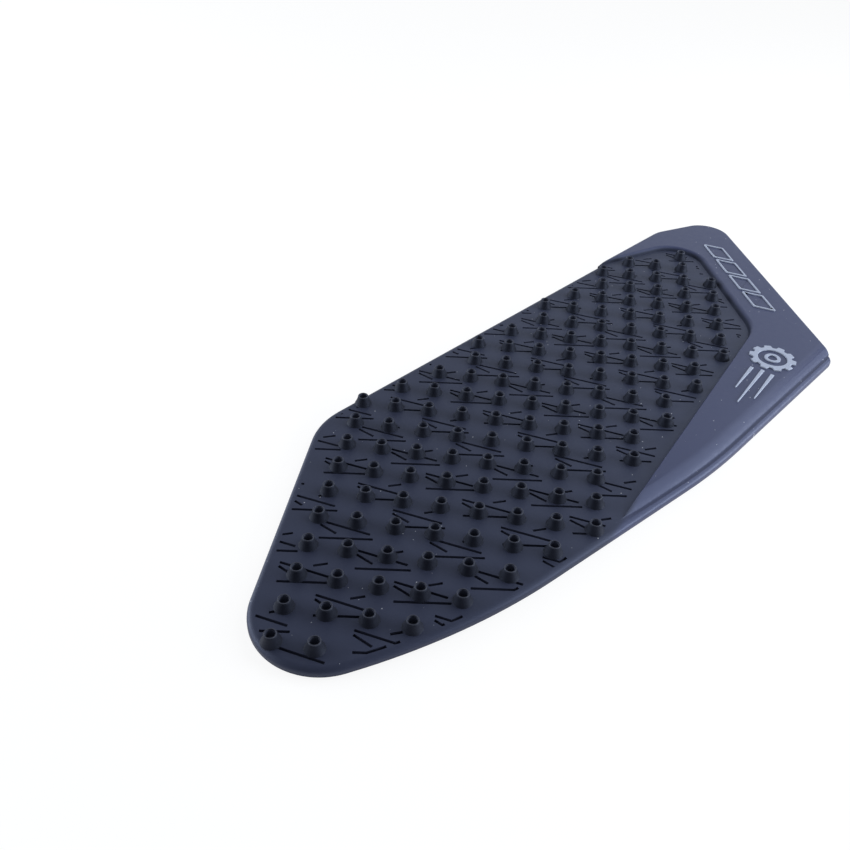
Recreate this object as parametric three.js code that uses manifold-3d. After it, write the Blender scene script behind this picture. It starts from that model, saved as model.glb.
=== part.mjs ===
import * as THREE from 'three';
import { mergeVertices } from 'three/addons/utils/BufferGeometryUtils.js';
import Module from 'manifold-3d';

const wasm = await Module();
wasm.setup();

// Motorcycle tank pad: one moulded rubber pad on its adhesive film and paper release liner.
// Millimetres, +Z up. The pad lies face up on its liner, and its long way runs along Y.
// Plan positions are measured from the stud nearest the narrow tip, and the whole part is
// then centred over the origin.

// Thicknesses, from the bottom up
const linerThickness = 0.2;
const filmThickness = 0.2;
const padThickness = 2.5;
const plateauRise = 1.5;

// Sharp corners of the pad's outline in plan, each with the radius that rounds it and the
// most degrees from one point of its arc to the next
const tip = { x: -7.8, y: -19.1, radius: 17.6, step: 11 };
const belly = { x: 42.7, y: 11.7, radius: 189, step: 2.4 };
const flank = { x: 103.8, y: 82.8, radius: 215, step: 2.4 };
const rightCorner = { x: 147.1, y: 148, radius: 5, step: 17 };
const topCorner = { x: 116.8, y: 247, radius: 10.2, step: 14 };
const shoulder = { x: 91.4, y: 229.3, radius: 13.9, step: 9 };
const heel = { x: -10.9, y: 78.7, radius: 23.8, step: 6 };
const leastStraight = 1.0;
const edgeRound = 1.0;
const filmInset = 0.3;
const linerInset = 1.0;

// Smooth raised plateau beside the studded field. Its crease starts beyond the lower edge,
// turns at the knee and the hood, and ends beyond the long edge, so it forms a spike and an arm.
const creaseStart = { x: 68.54, y: 37 };
const knee = { x: 121.62, y: 159.4, radius: 18, step: 8 };
const hood = { x: 103.5, y: 222.7, radius: 11, step: 14 };
const creaseEnd = { x: 60.15, y: 189.2 };
const creaseSlope = 2.0;
const rimWidth = 1.9;
const valleySlope = 4.0;
const plateauEdgeRound = 2.0;

// Hollow studs on a square grid
const studPitch = 10;
const studBaseDiameter = 4.8;
const studTopDiameter = 3.1;
const studHoleDiameter = 2.4;
const studHeight = 2.75;
const studHoleDepth = 2.2;
const studSides = 7;
const studClearance = { edge: 2.5, crease: 2.65 };

// Cut strokes in the field: a group of three that repeats on a skewed grid
const strokeWidth = 0.55;
const strokeDepth = 0.45;
const strokeMargin = 2.0;
const strokeCutterLift = 0.1;
const strokeGroupStart = { x: 23.16, y: 22.47 };
const strokeGroupStepA = { x: 17.16, y: 7.65 };
const strokeGroupStepB = { x: -11.2, y: 8.2 };
const strokeGroup = [
  { from: [0, 0], to: [13.4, -2.37] },
  { from: [0.14, -1.27], to: [4.2, -3.27] },
  { from: [1.04, -6.0], to: [14.44, -3.89] },
];

// Raised ornaments on the plateau: a row of outlined bars, and a toothed ring with dashes
const ornamentHeight = 0.4;
const lineWidth = 0.7;
const barCount = 4;
const barLength = 15;
const barWidth = 6.8;
const barGap = 1.6;
const barSlant = 4;
const barRowInset = 11;
const barRowStart = 22.5;
const ringCentre = { x: 126, y: 141 };
const ringRootRadius = 6.3;
const ringToothHeight = 1.2;
const ringHoleRadius = 4.7;
const ringTeeth = 10;
const ringHalfSides = 10;
const hubRadius = 2.6;
const hubHoleRadius = 1.5;
const hubHalfSides = 6;
const dashHeading = -117;
const dashRootWidth = 1.2;
const dashTipWidth = 0.36;
const dashes = [
  { start: 9.6, end: 24, side: -3.4 },
  { start: 9.0, end: 31, side: 0 },
  { start: 9.6, end: 26, side: 3.4 },
];

// Levels
const padBottom = linerThickness + filmThickness;
const fieldLevel = padBottom + padThickness;
const plateauLevel = fieldLevel + plateauRise;

// What stands on the pad has a foot that reaches down into it, past the strokes
const footBelowStrokes = 0.3;
const footDepth = strokeDepth + footBelowStrokes;

// Where a tooth's flanks meet its root and its tip, as shares of the way to the next tooth
const toothRise = { foot: 0.3, crest: 0.42 };
const toothFall = { crest: 0.88, foot: 1 };

// Round edges in few faces: a quarter round's middle point, as a share of its radius from both
// of its ends, and a soft shoulder, as shares of its width and of its height
const quarterRoundMiddle = 0.3;
const shoulderSteps = [[0, 0], [0.06, 0.42], [0.3, 0.8], [1, 1]];

// A distance that lies past every side of the pad
const far = 2 * topCorner.y;

const mergeDistance = 1e-4;
const vec = (x, y) => new THREE.Vector2(x, y);
const radians = THREE.MathUtils.degToRad;

// Plan curves

// Half the angle between a corner's two sides
function halfAngleAt(before, corner, after) {
  const back = vec(before.x, before.y).sub(corner).normalize();
  const ahead = vec(after.x, after.y).sub(corner).normalize();
  return Math.acos(back.dot(ahead)) / 2;
}

// How much of each of its sides a corner's arc takes up
function arcReach(before, corner, after) {
  return corner.radius / Math.tan(halfAngleAt(before, corner, after));
}

// An arc of the corner's radius that touches both of its sides, as points
function roundCorner(before, corner, after) {
  const here = vec(corner.x, corner.y);
  const back = vec(before.x, before.y).sub(here).normalize();
  const ahead = vec(after.x, after.y).sub(here).normalize();
  const toCentre = corner.radius / Math.sin(halfAngleAt(before, corner, after));
  const centre = back.clone().add(ahead).setLength(toCentre).add(here);
  const reach = arcReach(before, corner, after);
  const first = here.clone().addScaledVector(back, reach).sub(centre);
  const last = here.clone().addScaledVector(ahead, reach).sub(centre);
  const sweep = Math.atan2(first.cross(last), first.dot(last));
  const steps = Math.max(2, Math.ceil(Math.abs(sweep) / radians(corner.step)));
  const points = [];
  for (let k = 0; k <= steps; k++) {
    points.push(first.clone().rotateAround(vec(0, 0), (sweep * k) / steps).add(centre));
  }
  return points;
}

// A point past the second of two, on the straight line through both
function beyond(from, to, distance) {
  return vec(to.x, to.y).add(vec(to.x - from.x, to.y - from.y).setLength(distance));
}

// A line of points moved sideways, to its left where the distance is positive
function parallel(points, distance, closed) {
  const count = points.length;
  const normals = points.map((point, k) => {
    const along = points[(k + 1) % count].clone().sub(point).normalize();
    return vec(-along.y, along.x);
  });
  return points.map((point, k) => {
    const first = !closed && k === 0;
    const last = !closed && k === count - 1;
    const before = first ? normals[k] : normals[(k + count - 1) % count];
    const after = last ? before : normals[k];
    const middle = before.clone().add(after);
    return point.clone().addScaledVector(middle, (2 * distance) / middle.lengthSq());
  });
}

function distanceTo(points, place, closed) {
  let nearest = Infinity;
  const sides = closed ? points.length : points.length - 1;
  for (let k = 0; k < sides; k++) {
    const side = points[(k + 1) % points.length].clone().sub(points[k]);
    const share = place.clone().sub(points[k]).dot(side) / side.lengthSq();
    const foot = points[k].clone().addScaledVector(side, THREE.MathUtils.clamp(share, 0, 1));
    nearest = Math.min(nearest, foot.distanceTo(place));
  }
  return nearest;
}

function contains(points, place) {
  let inside = false;
  points.forEach((a, k) => {
    const b = points[(k + 1) % points.length];
    const crosses = (a.y > place.y) !== (b.y > place.y);
    if (crosses && place.x < a.x + ((b.x - a.x) * (place.y - a.y)) / (b.y - a.y)) inside = !inside;
  });
  return inside;
}

// The two long arcs of the lower side have their own radii, or what the arcs beside them leave
// room for
const bellyRoom = vec(tip.x, tip.y).distanceTo(belly) - arcReach(heel, tip, belly) - leastStraight;
const mostBellyRadius = bellyRoom * Math.tan(halfAngleAt(tip, belly, flank));
const bellyArc = { ...belly, radius: Math.min(belly.radius, mostBellyRadius) };
const flankRoom = Math.min(
  vec(belly.x, belly.y).distanceTo(flank) - arcReach(tip, bellyArc, flank),
  vec(rightCorner.x, rightCorner.y).distanceTo(flank) - arcReach(flank, rightCorner, topCorner),
) - leastStraight;
const mostFlankRadius = flankRoom * Math.tan(halfAngleAt(belly, flank, rightCorner));
const flankArc = { ...flank, radius: Math.min(flank.radius, mostFlankRadius) };

// The outline runs anticlockwise, so its inside lies to its left
const lowerArcs = [...roundCorner(tip, bellyArc, flank), ...roundCorner(belly, flankArc, rightCorner)];
const outline = [
  ...roundCorner(heel, tip, belly),
  ...lowerArcs,
  ...roundCorner(flank, rightCorner, topCorner),
  ...roundCorner(rightCorner, topCorner, shoulder),
  ...roundCorner(topCorner, shoulder, heel),
  ...roundCorner(shoulder, heel, tip),
];

// The long lower side, carried on until it is clear of the right corner, with the pad to its left
const sideEnd = beyond(flank, rightCorner, rightCorner.radius + rimWidth + valleySlope);
const lowerSide = [vec(tip.x, tip.y), ...lowerArcs, sideEnd];

// The crease, from the arm to the spike, with the plateau to its left
const crease = [
  vec(creaseEnd.x, creaseEnd.y),
  ...roundCorner(creaseEnd, hood, knee),
  ...roundCorner(hood, knee, creaseStart),
  vec(creaseStart.x, creaseStart.y),
];
const aroundPlateau = [vec(far, creaseStart.y), vec(far, far), vec(creaseEnd.x, far)];
const abovePad = [vec(far, far), vec(-far, far), vec(-far, tip.y)];

// Solids

// A closed skin over rings of points, from the lowest ring to the highest
function loft(rings) {
  const count = rings[0].points.length;
  const positions = rings.flatMap((ring) => ring.points.flatMap((point) => [point.x, point.y, ring.z]));
  const index = [];
  for (let level = 0; level + 1 < rings.length; level++) {
    for (let k = 0; k < count; k++) {
      const a = level * count + k;
      const b = level * count + ((k + 1) % count);
      index.push(a, b, b + count, a, b + count, a + count);
    }
  }
  const lid = (rings.length - 1) * count;
  for (const [a, b, c] of THREE.ShapeUtils.triangulateShape(rings[0].points, [])) index.push(c, b, a);
  for (const [a, b, c] of THREE.ShapeUtils.triangulateShape(rings.at(-1).points, [])) {
    index.push(lid + a, lid + b, lid + c);
  }
  const geometry = new THREE.BufferGeometry();
  geometry.setAttribute('position', new THREE.Float32BufferAttribute(positions, 3));
  geometry.setIndex(index);
  return geometry;
}

// A solid that can be cut and joined, with shared corners merged and empty triangles dropped
function solid(geometry) {
  const bare = new THREE.BufferGeometry();
  bare.setAttribute('position', geometry.getAttribute('position'));
  bare.setIndex(geometry.index);
  const merged = mergeVertices(bare, mergeDistance);
  const index = merged.index.array;
  const triangles = [];
  for (let k = 0; k < index.length; k += 3) {
    const [a, b, c] = index.slice(k, k + 3);
    if (a !== b && b !== c && c !== a) triangles.push(a, b, c);
  }
  return new wasm.Manifold(new wasm.Mesh({
    numProp: 3,
    vertProperties: new Float32Array(merged.getAttribute('position').array),
    triVerts: new Uint32Array(triangles),
  }));
}

function joined(solids) {
  return wasm.Manifold.union(solids);
}

function geometryOf(manifold) {
  const mesh = manifold.getMesh();
  const geometry = new THREE.BufferGeometry();
  geometry.setAttribute('position', new THREE.BufferAttribute(mesh.vertProperties, 3));
  geometry.setIndex(new THREE.BufferAttribute(mesh.triVerts, 1));
  return geometry;
}

function padPrism(inset, bottom, top) {
  const points = parallel(outline, inset, true);
  return loft([{ z: bottom, points }, { z: top, points }]);
}

// A block over all the ground to the left of a line, with a rounded shoulder along it
function blockBeside(line, farCorners, offset, slope) {
  const ring = (z, distance) => ({ z, points: [...parallel(line, distance, false), ...farCorners] });
  return loft([
    ring(fieldLevel - edgeRound, offset),
    ...shoulderSteps.map(([across, up]) => ring(fieldLevel + plateauRise * up, offset + slope * across)),
  ]);
}

function slab() {
  const middle = quarterRoundMiddle * edgeRound;
  return solid(loft([
    { z: padBottom, points: outline },
    { z: fieldLevel - edgeRound, points: outline },
    { z: fieldLevel - middle, points: parallel(outline, middle, true) },
    { z: fieldLevel, points: parallel(outline, edgeRound, true) },
  ]));
}

function plateau() {
  const edge = loft([
    { z: fieldLevel - edgeRound, points: outline },
    ...shoulderSteps.map(([across, up]) => ({
      z: fieldLevel + plateauRise * up,
      points: parallel(outline, plateauEdgeRound * across, true),
    })),
  ]);
  const beyondCrease = blockBeside(crease, aroundPlateau, 0, creaseSlope);
  const insideValley = blockBeside(lowerSide, abovePad, rimWidth, valleySlope);
  return solid(edge).intersect(solid(beyondCrease)).intersect(solid(insideValley));
}

// A three-sided bar along a stroke, with its sharp side down and its flat side above the field
function strokeCutter(from, to) {
  const halfTop = (strokeWidth / 2) * (1 + strokeCutterLift / strokeDepth);
  const section = new THREE.Shape([
    vec(-halfTop, strokeCutterLift),
    vec(0, -strokeDepth),
    vec(halfTop, strokeCutterLift),
  ]);
  const geometry = new THREE.ExtrudeGeometry(section, { depth: from.distanceTo(to), bevelEnabled: false });
  const along = new THREE.Vector3(to.x - from.x, to.y - from.y, 0).normalize();
  const up = new THREE.Vector3(0, 0, 1);
  const placed = new THREE.Matrix4().makeBasis(up.clone().cross(along), up, along);
  placed.setPosition(from.x, from.y, fieldLevel);
  return solid(geometry.applyMatrix4(placed));
}

function strokes() {
  const cutters = [];
  const most = Math.ceil(far / studPitch);
  for (let a = -most; a <= most; a++) {
    for (let b = -most; b <= most; b++) {
      const start = vec(strokeGroupStart.x, strokeGroupStart.y)
        .addScaledVector(strokeGroupStepA, a)
        .addScaledVector(strokeGroupStepB, b);
      for (const stroke of strokeGroup) {
        const from = vec(...stroke.from).add(start);
        const to = vec(...stroke.to).add(start);
        if (contains(outline, from) || contains(outline, to)) cutters.push(strokeCutter(from, to));
      }
    }
  }
  const nearField = padPrism(strokeMargin, padBottom, plateauLevel);
  const pastCrease = loft([padBottom, plateauLevel].map((z) => ({
    z,
    points: [...parallel(crease, -strokeMargin, false), ...aroundPlateau],
  })));
  return joined(cutters).intersect(solid(nearField)).subtract(solid(pastCrease));
}

function studGeometry() {
  const profile = [
    vec(0, studHeight - studHoleDepth),
    vec(studHoleDiameter / 2, studHeight),
    vec(studTopDiameter / 2, studHeight),
    vec(studBaseDiameter / 2, 0),
    vec(studBaseDiameter / 2, -footDepth),
    vec(0, -footDepth),
  ];
  return new THREE.LatheGeometry(profile.reverse(), studSides).rotateX(Math.PI / 2);
}

function studs() {
  const stud = studGeometry();
  const pastCrease = [...crease, ...aroundPlateau];
  const solids = [];
  const most = Math.ceil(far / studPitch);
  for (let column = -most; column <= most; column++) {
    for (let row = -most; row <= most; row++) {
      const place = vec(column, row).multiplyScalar(studPitch);
      const stands = contains(outline, place)
        && !contains(pastCrease, place)
        && distanceTo(outline, place, true) > studClearance.edge
        && distanceTo(crease, place, false) > studClearance.crease;
      if (stands) solids.push(solid(stud.clone().translate(place.x, place.y, fieldLevel)));
    }
  }
  return joined(solids);
}

// A flat raised figure on the plateau, from a plan shape turned and moved into place. A full
// circle in the shape gets twice as many sides as the number given.
function raised(shape, heading, place, halfSides = 1) {
  const geometry = new THREE.ExtrudeGeometry(shape, {
    depth: ornamentHeight + footDepth,
    bevelEnabled: false,
    curveSegments: halfSides,
  });
  return solid(geometry.rotateZ(heading).translate(place.x, place.y, plateauLevel - footDepth));
}

function barRow() {
  const along = vec(rightCorner.x - topCorner.x, rightCorner.y - topCorner.y).normalize();
  const inward = vec(along.y, -along.x);
  const frame = [
    vec(0, -barWidth / 2),
    vec(barLength - barSlant, -barWidth / 2),
    vec(barLength, barWidth / 2),
    vec(barSlant, barWidth / 2),
  ];
  const solids = [];
  for (let k = 0; k < barCount; k++) {
    const shape = new THREE.Shape(frame);
    shape.holes.push(new THREE.Path(parallel(frame, lineWidth, true)));
    const place = vec(topCorner.x, topCorner.y)
      .addScaledVector(along, barRowStart + k * (barLength - barSlant + barGap))
      .addScaledVector(inward, barRowInset);
    solids.push(raised(shape, along.angle(), place));
  }
  return joined(solids);
}

function toothedRing() {
  const turn = (2 * Math.PI) / ringTeeth;
  const tipRadius = ringRootRadius + ringToothHeight;
  const toothCorners = [
    [ringRootRadius, toothRise.foot],
    [tipRadius, toothRise.crest],
    [tipRadius, toothFall.crest],
    [ringRootRadius, toothFall.foot],
  ];
  const points = [];
  for (let k = 0; k < ringTeeth; k++) {
    for (const [radius, share] of toothCorners) {
      const angle = (k + share) * turn;
      points.push(vec(radius * Math.cos(angle), radius * Math.sin(angle)));
    }
  }
  const shape = new THREE.Shape(points);
  shape.holes.push(new THREE.Path().absarc(0, 0, ringHoleRadius, 0, 2 * Math.PI));
  const hub = new THREE.Shape().absarc(0, 0, hubRadius, 0, 2 * Math.PI);
  hub.holes.push(new THREE.Path().absarc(0, 0, hubHoleRadius, 0, 2 * Math.PI));
  return joined([raised(shape, 0, ringCentre, ringHalfSides), raised(hub, 0, ringCentre, hubHalfSides)]);
}

function dashFigures() {
  return joined(dashes.map(({ start, end, side }) => {
    const shape = new THREE.Shape([
      vec(start, side - dashRootWidth / 2),
      vec(end, side - dashTipWidth / 2),
      vec(end, side + dashTipWidth / 2),
      vec(start, side + dashRootWidth / 2),
    ]);
    return raised(shape, radians(dashHeading), ringCentre);
  }));
}

function rubberPad() {
  const body = slab().add(plateau()).subtract(strokes()).add(studs());
  return geometryOf(joined([body, barRow(), toothedRing(), dashFigures()]));
}

// Assembly
const part = new THREE.Group();

function place(name, geometry, color, roughness) {
  const material = new THREE.MeshStandardMaterial({ color, roughness, metalness: 0 });
  const mesh = new THREE.Mesh(geometry, material);
  mesh.name = name;
  part.add(mesh);
}

place('rubber_pad', rubberPad(), 0x3b3d4c, 0.6);
place('adhesive_film', padPrism(filmInset, linerThickness, padBottom), 0xdcd6cc, 0.3);
place('release_liner', padPrism(linerInset, 0, linerThickness), 0xe4d6d6, 0.7);

const centre = new THREE.Box2().setFromPoints(outline).getCenter(vec(0, 0));
part.position.set(-centre.x, -centre.y, 0);

export default part;
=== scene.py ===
import math

import bpy
import numpy as np
from mathutils import Matrix, Vector

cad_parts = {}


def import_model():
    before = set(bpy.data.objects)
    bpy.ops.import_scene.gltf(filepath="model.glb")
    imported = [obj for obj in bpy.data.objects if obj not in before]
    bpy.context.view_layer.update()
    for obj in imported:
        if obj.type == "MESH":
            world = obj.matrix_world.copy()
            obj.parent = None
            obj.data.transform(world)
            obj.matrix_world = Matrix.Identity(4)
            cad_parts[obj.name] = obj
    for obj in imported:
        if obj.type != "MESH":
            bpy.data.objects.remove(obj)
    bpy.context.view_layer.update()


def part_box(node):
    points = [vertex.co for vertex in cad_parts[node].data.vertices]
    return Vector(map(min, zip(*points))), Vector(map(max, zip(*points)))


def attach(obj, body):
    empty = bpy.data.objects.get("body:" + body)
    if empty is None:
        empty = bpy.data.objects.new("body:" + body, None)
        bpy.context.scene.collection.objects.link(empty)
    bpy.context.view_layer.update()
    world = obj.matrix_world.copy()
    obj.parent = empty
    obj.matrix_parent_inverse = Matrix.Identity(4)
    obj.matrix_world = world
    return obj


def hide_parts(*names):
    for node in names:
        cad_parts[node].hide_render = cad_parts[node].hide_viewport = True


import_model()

# The drawing is in millimetres, in plan from the stud nearest the narrow tip, as the part's
# own source has it. Each piece is moved to the shared frame and to metres when its mesh is made.
MM = 0.001

# The outline's sharp corners, each as x, y and the radius that rounds it. An arc's step is in
# degrees.
TIP = (-7.8, -19.1, 17.6)
BELLY = (42.7, 11.7, 177.0)
FLANK = (103.8, 82.8, 215.0)
RIGHT_CORNER = (147.1, 148.0, 5.0)
TOP_CORNER = (116.8, 247.0, 10.2)
SHOULDER = (91.4, 229.3, 13.9)
HEEL = (-10.9, 78.7, 23.8)
ARC_STEP = 4.0
LONG_ARC_STEP = 1.0
EDGE_ROUND = 1.7
EDGE_DROP = 1.3
EDGE_STEPS = 6
UNDER_ROUND = 0.25
FILM_INSET = 0.3
LINER_INSET = 1.0

# The crease between the studded field and the smooth plateau
CREASE_START = (68.54, 37.0)
KNEE = (121.62, 159.4, 18.0)
HOOD = (103.5, 222.7, 11.0)
CREASE_END = (60.15, 189.2)
PLATEAU_RISE = 1.5
WALL_FOOT_RADIUS = 0.5
WALL_CREST_RADIUS = 2.3
WALL_STEPS = 7
WALL_OFFSET = -0.2
SPIKE_WALL_SHARE = 0.3
SPIKE_WALL_OFFSET = 0.35
PLATEAU_EDGE_ROUND = 1.4
FOOT_POINTS = 4
FAR = 500.0

# The rim along the lower side, the valley between it and the plateau, and the groove in its foot
RIM_WIDTH = 2.2
VALLEY_FOOT_RADIUS = 0.5
VALLEY_SLOPE = 4.8
VALLEY_POWER = 2.3
VALLEY_STEPS = 9
VALLEY_STEP_POWER = 1.3
GROOVE_DEPTH = 0.26
GROOVE_RADIUS = 2.2
GROOVE_SIDES = 96
GROOVE_RUN_IN = 18.0
GROOVE_RUN_IN_STEP = 1.0
GROOVE_SEARCH_STEP = 0.5
GROOVE_LEAST_SHARE = 0.15

# Hollow studs. The flank's rows are shares of the height, and the lean is in radians.
STUD_PITCH = 10.0
STUD_BASE = 5.1
STUD_TOP = 3.1
STUD_HOLE = 2.4
STUD_HEIGHT = 2.75
STUD_HOLE_DEPTH = 2.3
STUD_HOLE_TAPER = 0.85
STUD_FOOT = 0.8
STUD_FOOT_MARGIN = 0.03
STUD_FLARE = 1.55
STUD_FLANK_ROWS = (0.045, 0.13, 0.30, 0.52, 0.76)
STUD_LIP = 0.09
STUD_HOLE_LIP_WIDTH = 0.8 * STUD_LIP
STUD_HOLE_LIP_DROP = 1.5 * STUD_LIP
STUD_SIDES = 16
STUD_LEAN = 0.03
STUD_SEED = 7
STUD_CLEARANCE = {"edge": 2.5, "crease": 2.65}

# Cut strokes, in groups of four on a skewed grid
STROKE_WIDTH = 0.64
STROKE_DEPTH = 0.7
STROKE_LIFT = 0.15
STROKE_TAPER = 0.25
STROKE_MARGIN = 2.0
STROKE_START = (23.16, 22.47)
STROKE_STEP_A = (17.16, 7.65)
STROKE_STEP_B = (-11.2, 8.2)
STROKES = (
    ((0.0, 0.0), (13.4, -2.37)),
    ((0.14, -1.27), (4.95, -3.7)),
    ((1.04, -6.0), (14.44, -3.89)),
    ((8.2, 0.5), (11.5, 1.9)),
)
STROKE_REACH = FAR / 3
SHORTEST_STROKE = 0.35

# A stroke is tried at points this far apart. It is hooked at the lower side where enough of them
# lie in the field and enough past the margin, along this share of the latter.
STROKE_TRY_STEP = 0.1
HOOK_FREE_POINTS = 10
HOOK_REST_POINTS = 4
HOOK_SHARE = 0.5
HOOK_TOLERANCE = 0.2

# Raised ornaments on the plateau
LINE_HEIGHT = 0.4
LINE_WIDTH = 0.7
LINE_BEVEL = 0.12
CORNER_ARC_STEP = 20.0
CIRCLE_SIDES = 48
BAR_COUNT = 4
BAR_LENGTH = 15.0
BAR_WIDTH = 6.8
BAR_GAP = 1.6
BAR_SLANT = 4.0
BAR_CORNER = 0.5
BAR_ROW_INSET = 11.0
BAR_ROW_START = 22.5
RING_CENTRE = (126.0, 141.0)
RING_ROOT = 6.3
RING_TOOTH = 1.2
RING_HOLE = 4.7
RING_TEETH = 10
TOOTH_SHARES = (0.3, 0.42, 0.88, 1.0)
TOOTH_CORNER = 0.25
HUB = 2.6
HUB_HOLE = 1.5
DASH_HEADING = -117.0
DASH_ROOT = 1.2
DASH_TIP = 0.36
DASH_CORNER = 0.16
DASHES = ((9.6, 24.0, -3.4), (9.0, 31.0, 0.0), (9.6, 26.0, 3.4))

# Levels, from the frame
PAD_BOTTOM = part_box("rubber_pad")[0].z / MM
STUD_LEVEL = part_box("rubber_pad")[1].z / MM
FIELD = STUD_LEVEL - STUD_HEIGHT
PLATEAU = FIELD + PLATEAU_RISE
FILM_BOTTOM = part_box("adhesive_film")[0].z / MM
LINER_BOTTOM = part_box("release_liner")[0].z / MM

# How far past a level, the edge's round, the pad's bottom, a stud's foot or its top a face lies
# to count as beyond it
LEVEL_MARGIN = 0.02
EDGE_MARGIN = 0.1
BOTTOM_MARGIN = 0.3
STUD_MARGIN = 0.3
STUD_FOOT_LEVEL_MARGIN = 0.01
STUD_TOP_MARGIN = 0.05
SHARP_ANGLE = 38.0

# Rubber finishes, each as its darkest colour, its lightest colour and its roughness
FIELD_RUBBER = ((0.018, 0.021, 0.041), (0.027, 0.031, 0.056), 0.56)
BORDER_RUBBER = ((0.028, 0.033, 0.076), (0.037, 0.042, 0.092), 0.44)
# Painted shade: the studs' rubber is a darker copy of the field's, for the shade on their flanks
SHADED_STUD_RUBBER = ((0.007, 0.008, 0.013), (0.011, 0.012, 0.019), 0.60)
# Painted light: a much paler copy of the studs' rubber that lightens the insides of the deep holes
LIT_HOLE_RUBBER = ((0.050, 0.055, 0.080), (0.062, 0.068, 0.098), 0.5)
# Painted shade: the strokes' rubber is a darker copy of the field's, for the shade in the cut grooves
SHADED_STROKE_RUBBER = ((0.012, 0.013, 0.024), (0.018, 0.019, 0.034), 0.65)
LINE_RUBBER = ((0.30, 0.33, 0.42), (0.38, 0.41, 0.50), 0.45)
GLOSS_TINT = (0.60, 0.69, 1.0, 1)

# Noise in the rubber: scales, shares of the colour and of the roughness, and heights
CLOUD_SCALE = 28.0
MOTTLE_SCALE = 420.0
FINE_SCALE = 2600.0
CLOUD_SHARE = 0.7
MOTTLE_ROUGHNESS = 0.12
FINE_ROUGHNESS = 0.08
FINE_HEIGHT = 0.6
DUST_HEIGHT = 2.0
BUMP_DISTANCE = 0.1 * MM

# Where the border's finish takes over and where painted shade darkens the wall, as heights above the
# field, and the border's width beside the spike
BORDER_START = 0.5
BORDER_FULL = PLATEAU_RISE - 0.05
SPIKE_FADE = 1.8
SHADE_START = 0.01
SHADE_FULL = 0.1
SHADE_COLOUR = (0.004, 0.005, 0.012, 1)
SHADE_SHARE = 0.8
SHADE_ROUGHNESS = 0.2

# Painted highlight on the studs' top edge, from this far below their top to that far
LIP_HIGHLIGHT_START = 0.16
LIP_HIGHLIGHT_FULL = 0.03
LIP_HIGHLIGHT_COLOUR = (0.044, 0.046, 0.060, 1)

# Dust: cells per metre, a speck's largest size and the smallest one's share of it, and one speck
# in so many cells where the clouds are denser than this
DUST_CELLS = 330.0
DUST_SIZE = 0.16 * MM
DUST_LEAST = 0.3
DUST_ONE_IN = 6.0
DUST_CLOUD = 0.46
DUST_COLOUR = (0.45, 0.46, 0.50, 1)

# The film and the liner's paper, each as its darkest and its lightest colour, with the scales of
# their noise
FILM_COLOURS = ((0.70, 0.66, 0.58, 1), (0.80, 0.77, 0.70, 1))
HAZE_SCALE = 300.0
PAPER_COLOURS = ((0.70, 0.58, 0.57, 1), (0.84, 0.74, 0.73, 1))
FIBRE_SCALE = 900.0
PAPER_CLOUD_SCALE = 40.0
WEAR_SCALE = 1500.0

# The liner's print. Its turn is in degrees and its repeat in metres. All other places are shares
# of the repeat.
PRINT_TURN = 31.0
PRINT_REPEAT = (0.034, 0.017)
PRINT_ROW_SHIFT = 0.37
PRINT_COLOUR = (0.22, 0.60, 0.42, 1)
CHEVRON_MIDDLE = 0.30
CHEVRON_HALF = 0.14
CHEVRON_LEAN = 0.22
CHEVRON_END = 0.46
CHEVRON_COUNT = 7.0
CHEVRON_FILL = 0.5
PRINT_LINES = ((0.58, 0.62), (0.70, 0.40))
PRINT_LINE_HALF = 0.025
PRINT_LINE_DASHES = 23.0
PRINT_LINE_FILL = 0.72

# Light panels: name, place, what each one faces, its size and its power
PANEL_COLOUR = (0.88, 0.94, 1.0)
PANELS = (
    ("back_panel", (-0.05, 1.15, 0.62), (0.0, 0.05, 0.0), (1.6, 0.9), 4.0),
    ("high_right_panel", (0.25, 0.13, 0.25), (0.06, 0.03, 0.0), (0.28, 0.28), 0.68),
    ("low_right_panel", (0.52, -0.02, 0.14), (0.05, 0.0, 0.0), (0.5, 0.22), 3.0),
    ("low_left_panel", (-0.60, 0.0, 0.15), (-0.05, 0.0, 0.0), (0.6, 0.25), 3.4),
)
WORLD_COLOUR = (0.90, 0.94, 1.0, 1)
WORLD_STRENGTH = 0.27
FLOOR_HALF = 3.0
FLOOR_COLOUR = (0.86, 0.86, 0.87, 1)
FLOOR_WHITE = 1.08
FLOOR_WHITE_SHARE = 0.80


# Plan curves, as arrays of points

def unit(vector):
    return vector / np.linalg.norm(vector)


def rounded(before, corner, after, step=ARC_STEP):
    """The arc that rounds a corner, as points at most step degrees apart."""
    here = np.array(corner[:2])
    radius = corner[2]
    back = unit(np.array(before[:2]) - here)
    ahead = unit(np.array(after[:2]) - here)
    half = math.acos(back @ ahead) / 2
    centre = here + unit(back + ahead) * radius / math.sin(half)
    first = here + back * radius / math.tan(half) - centre
    last = here + ahead * radius / math.tan(half) - centre
    sweep = math.atan2(first[0] * last[1] - first[1] * last[0], first @ last)
    steps = max(2, math.ceil(abs(math.degrees(sweep)) / step))
    turns = np.linspace(0, sweep, steps + 1)
    across = np.array((-first[1], first[0]))
    return centre + np.outer(np.cos(turns), first) + np.outer(np.sin(turns), across)


def parallel(line, distance, closed=False):
    """A line of points moved sideways, to its left where the distance is positive."""
    ahead = np.roll(line, -1, axis=0) - line
    ahead /= np.linalg.norm(ahead, axis=1)[:, None]
    after = np.column_stack((-ahead[:, 1], ahead[:, 0]))
    if not closed:
        after[-1] = after[-2]
    before = np.roll(after, 1, axis=0)
    if not closed:
        before[0] = after[0]
    middle = before + after
    return line + middle * (2 * distance / (middle ** 2).sum(axis=1))[:, None]


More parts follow.
